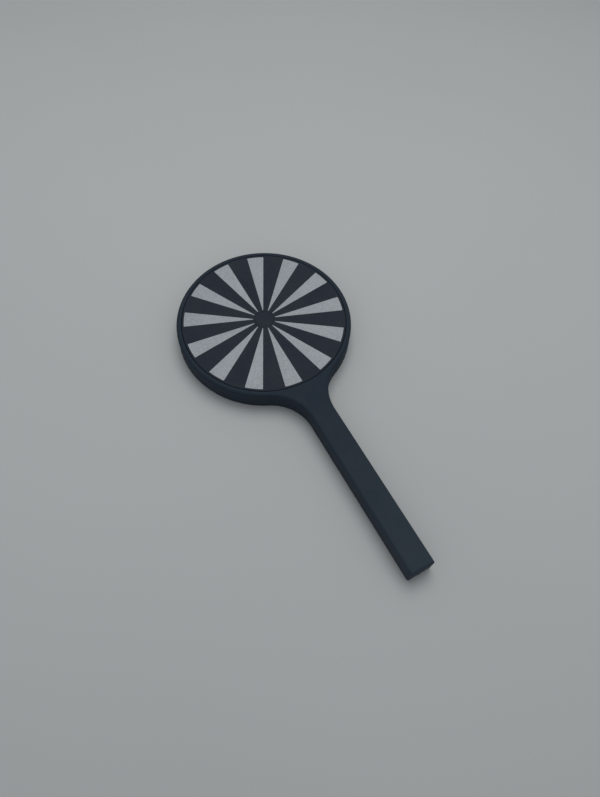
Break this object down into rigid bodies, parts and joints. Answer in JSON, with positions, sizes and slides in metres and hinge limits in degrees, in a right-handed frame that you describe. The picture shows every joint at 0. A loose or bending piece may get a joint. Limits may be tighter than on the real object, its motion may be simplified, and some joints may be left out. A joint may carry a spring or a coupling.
{
  "type": "hand-held disc pinwheel",
  "caption": "Flat disc pinwheel: a round head on a straight handle holds a flush wheel with white sectors let into its black face, turning freely on a ball bearing and a fixed pin.",
  "frame": {"origin": "point where the wheel's axis meets the flat back face", "axes": "+Z along the wheel's axis out of the front face, -Y along the handle to its end, +X to the right seen from the front"},
  "size_m": [0.08, 0.1687, 0.0094],
  "materials": {
    "housing_black": "fine matt grain",
    "wheel_black": "fine matt grain",
    "sector_white": "smooth satin",
    "screw_steel": "zinc plated",
    "axle_steel": "ground",
    "spring_steel": "dark spring steel",
    "bearing_steel": "ground",
    "shield_steel": "pressed sheet",
    "ball_chrome": "polished",
    "cage_brass": "satin",
    "spacer_brass": "satin"
  },
  "bodies": {
    "housing": {"front_shell": "housing_black", "rear_shell": "housing_black", "shell_screws": "screw_steel", "axle_pin": "axle_steel", "axle_spacer": "spacer_brass", "retaining_clip": "spring_steel", "bearing_inner_ring": "bearing_steel"},
    "wheel": {"wheel_disc": "wheel_black", "hub_cap": "wheel_black", "bearing_outer_ring": "bearing_steel", "bearing_front_shield": "shield_steel", "bearing_rear_shield": "shield_steel", "sector_01": "sector_white", "sector_02": "sector_white", "sector_03": "sector_white", "sector_04": "sector_white", "sector_05": "sector_white", "sector_06": "sector_white", "sector_07": "sector_white", "sector_08": "sector_white", "sector_09": "sector_white", "sector_10": "sector_white", "sector_11": "sector_white", "sector_12": "sector_white", "sector_13": "sector_white"},
    "ball_set": {"bearing_cage": "cage_brass", "bearing_balls": "ball_chrome"}
  },
  "joints": [
    {"name": "wheel_spin", "type": "hinge", "parent": "housing", "child": "wheel", "pos_m": [0, 0, 0.0054], "axis": [0, 0, 1], "continuous": true},
    {"name": "ball_set_spin", "type": "hinge", "parent": "housing", "child": "ball_set", "pos_m": [0, 0, 0.0054], "axis": [0, 0, 1], "continuous": true}
  ],
  "couplings": [
    {"joint": "ball_set_spin", "follows": "wheel_spin", "ratio": 0.62}
  ]
}
